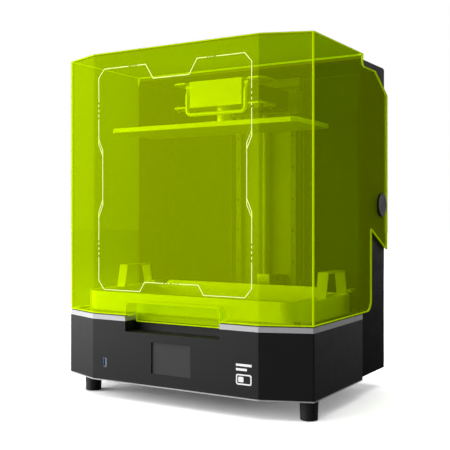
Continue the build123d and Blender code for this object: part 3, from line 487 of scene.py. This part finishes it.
# ---- contact tongue of the USB socket -----------------------------------------------------
TONGUE = Vector((2.2, 8.0, 12.4)) * MM
TONGUE_ASIDE, TONGUE_BACK, TONGUE_BEVEL = 0.5 * MM, 6 * MM, 0.4 * MM
low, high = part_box("usb_socket")
middle = Vector(((low.x + high.x) / 2 + TONGUE_ASIDE, low.y + TONGUE_BACK, (low.z + high.z) / 2))
bm = bmesh.new()
bmesh.ops.create_cube(bm, size=1.0)
for vert in bm.verts:
    vert.co = Vector((vert.co.x * TONGUE.x, vert.co.y * TONGUE.y, vert.co.z * TONGUE.z)) + middle
bmesh.ops.bevel(bm, geom=bm.edges[:], offset=TONGUE_BEVEL, segments=2, affect="EDGES")
piece("usb_tongue", mesh_from(bm, "usb_tongue"), socket_blue_glowing, "base")

# ---- lead screw with its thread -----------------------------------------------------------
CREST, ROOT, PITCH, SIDES = 6.0 * MM, 5.0 * MM, 4 * MM, 28
SCREW_END = 16 * MM
# (share of the pitch, radius) along one turn of the thread
THREAD = [(0.0, ROOT), (0.18, ROOT), (0.42, CREST), (0.68, CREST), (0.92, ROOT)]
low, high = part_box("lead_screw")
axis_x, axis_y = (low.x + high.x) / 2, (low.y + high.y) / 2


def around(bm, step, radius, z):
    """A new point at a height, on a circle about the screw's axis."""
    angle = 2 * math.pi * step / SIDES
    return bm.verts.new((axis_x + radius * math.cos(angle), axis_y + radius * math.sin(angle), z))


bm = bmesh.new()
turns = int((high.z - low.z - SCREW_END) / PITCH)
rows = []
for step in range(turns * SIDES + 1):
    start_z = low.z + PITCH * step / SIDES
    rows.append([around(bm, step, r, start_z + t * PITCH) for t, r in THREAD])
for a, b in zip(rows, rows[1:]):
    for k in range(len(THREAD) - 1):
        bm.faces.new((a[k], b[k], b[k + 1], a[k + 1]))
for i in range(len(rows) - SIDES - 1):
    bm.faces.new((rows[i][-1], rows[i + 1][-1], rows[i + SIDES + 1][0], rows[i + SIDES][0]))
for ring, z, inner in ((rows[: SIDES + 1], low.z, 0), (rows[-SIDES - 1 :], high.z, -1)):
    cap = [around(bm, i, ROOT, z) for i in range(SIDES)]
    for i in range(SIDES):
        a, b = ring[i][inner], ring[i + 1][inner]
        bm.faces.new((cap[i], cap[(i + 1) % SIDES], b, a))
    bm.faces.new(cap)
screw = piece("lead_screw_thread", mesh_from(bm, "lead_screw_thread"), screw_steel, "screw")
for face in screw.data.polygons:
    face.use_smooth = True
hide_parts("lead_screw")

# ---- stage, light and camera --------------------------------------------------------------


def seen_directly(tree):
    """1 where the backdrop itself is seen, 0 where it only lights the object or shows through it."""
    light = tree.nodes.new("ShaderNodeLightPath")
    through = tree.nodes.new("ShaderNodeMath")
    through.operation = "LESS_THAN"
    through.inputs[1].default_value = 0.5
    tree.links.new(light.outputs["Transparent Depth"], through.inputs[0])
    both = tree.nodes.new("ShaderNodeMath")
    both.operation = "MULTIPLY"
    tree.links.new(light.outputs["Is Camera Ray"], both.inputs[0])
    tree.links.new(through.outputs["Value"], both.inputs[1])
    return both.outputs["Value"]


def floor():
    """White paper that fades into the backdrop, and is dim where it only lights the object. Its painted glow
    grows away from a point left of the object, painted light that lifts the shadow on the object's right.
    """
    half = 12.0
    paper_shades = (1.83, 1.83, 1.83), (1.87, 1.87, 1.87)
    middle, near, far_off = (-0.25, -0.2, 0), 0.33, 1.4
    dim_grey = (0.17, 0.17, 0.17, 1)
    mesh = bpy.data.meshes.new("floor")
    corners = [(-half, -half, 0), (half, -half, 0), (half, half, 0), (-half, half, 0)]
    mesh.from_pydata(corners, [], [(0, 1, 2, 3)])
    obj = bpy.data.objects.new("floor", mesh)
    bpy.context.scene.collection.objects.link(obj)
    s = Shader("floor_paper")
    paper = s.add("ShaderNodeBsdfDiffuse")
    s.link(s.blend(s.noise(2.0), *paper_shades), paper.inputs["Color"])
    far = s.add("ShaderNodeVectorMath")
    far.operation = "DISTANCE"
    far.inputs[1].default_value = middle
    s.link(s.coordinates, far.inputs[0])
    # Painted glow: emission that grows with distance from middle, brightening the floor's shadow on the
    # object's right.
    glow = s.add("ShaderNodeEmission")
    s.link(s.spread(far.outputs["Value"], 0.03, 1.2, near, far_off), glow.inputs["Strength"])
    both = s.add("ShaderNodeAddShader")
    s.link(paper.outputs["BSDF"], both.inputs[0])
    s.link(glow.outputs["Emission"], both.inputs[1])
    dim = s.add("ShaderNodeBsdfDiffuse")
    dim.inputs["Color"].default_value = dim_grey
    mix = s.add("ShaderNodeMixShader")
    s.link(seen_directly(s.tree), mix.inputs["Fac"])
    s.link(dim.outputs["BSDF"], mix.inputs[1])
    s.link(both.outputs["Shader"], mix.inputs[2])
    s.link(mix.outputs["Shader"], s.output.inputs["Surface"])
    mesh.materials.append(s.material)


def lamp(name, spot, target, size, power):
    """A soft rectangular lamp that lights the object but isn't seen by the camera."""
    data = bpy.data.lights.new(name, "AREA")
    data.shape = "RECTANGLE"
    data.size, data.size_y = size
    data.energy = power
    obj = bpy.data.objects.new(name, data)
    bpy.context.scene.collection.objects.link(obj)
    obj.location = spot
    obj.rotation_euler = (Vector(target) - Vector(spot)).to_track_quat("-Z", "Y").to_euler()
    obj.visible_camera = False


floor()
lamp("key_softbox", (-2.3, -1.0, 0.7), (0, 0, 0.35), (1.4, 1.4), 54)
lamp("front_softbox", (-1.4, -2.23, 0.6), (0, -0.17, 0.4), (1.5, 1.3), 25)
lamp("ceiling", (-0.5, -0.3, 3.2), (0, 0.1, 0), (4.2, 4.2), 88)
lamp("rear_right_softbox", (0.85, 2.25, 0.75), (0.2, 0.1, 0.35), (0.6, 1.4), 9)
lamp("rear_left_softbox", (-1.3, 2.6, 1.1), (0, 0.17, 0.3), (1.2, 1.2), 12)

BACKDROP, FILL = 1.0, 0.125
world = bpy.data.worlds.new("studio")
bpy.context.scene.world = world
world.use_nodes = True
tree = world.node_tree
tree.nodes.clear()
seen = tree.nodes.new("ShaderNodeBackground")
seen.inputs["Strength"].default_value = BACKDROP
fill = tree.nodes.new("ShaderNodeBackground")
fill.inputs["Strength"].default_value = FILL
mix = tree.nodes.new("ShaderNodeMixShader")
out = tree.nodes.new("ShaderNodeOutputWorld")
for background in (seen, fill):
    background.inputs["Color"].default_value = (1, 1, 1, 1)
tree.links.new(seen_directly(tree), mix.inputs["Fac"])
tree.links.new(fill.outputs["Background"], mix.inputs[1])
tree.links.new(seen.outputs["Background"], mix.inputs[2])
tree.links.new(mix.outputs["Shader"], out.inputs["Surface"])

CAMERA_SPOT, CAMERA_TURN = (0.742, -1.2425, 0.309), 30.94
LENS, SENSOR, SHIFT_UP = 64.9, 36, -0.0222
camera_data = bpy.data.cameras.new("camera")
camera_data.lens = LENS
camera_data.sensor_width = SENSOR
camera_data.shift_y = SHIFT_UP
camera = bpy.data.objects.new("camera", camera_data)
bpy.context.scene.collection.objects.link(camera)
camera.location = CAMERA_SPOT
camera.rotation_euler = (math.radians(90), 0, math.radians(CAMERA_TURN))
bpy.context.scene.camera = camera
bpy.context.scene.view_settings.view_transform = "Standard"
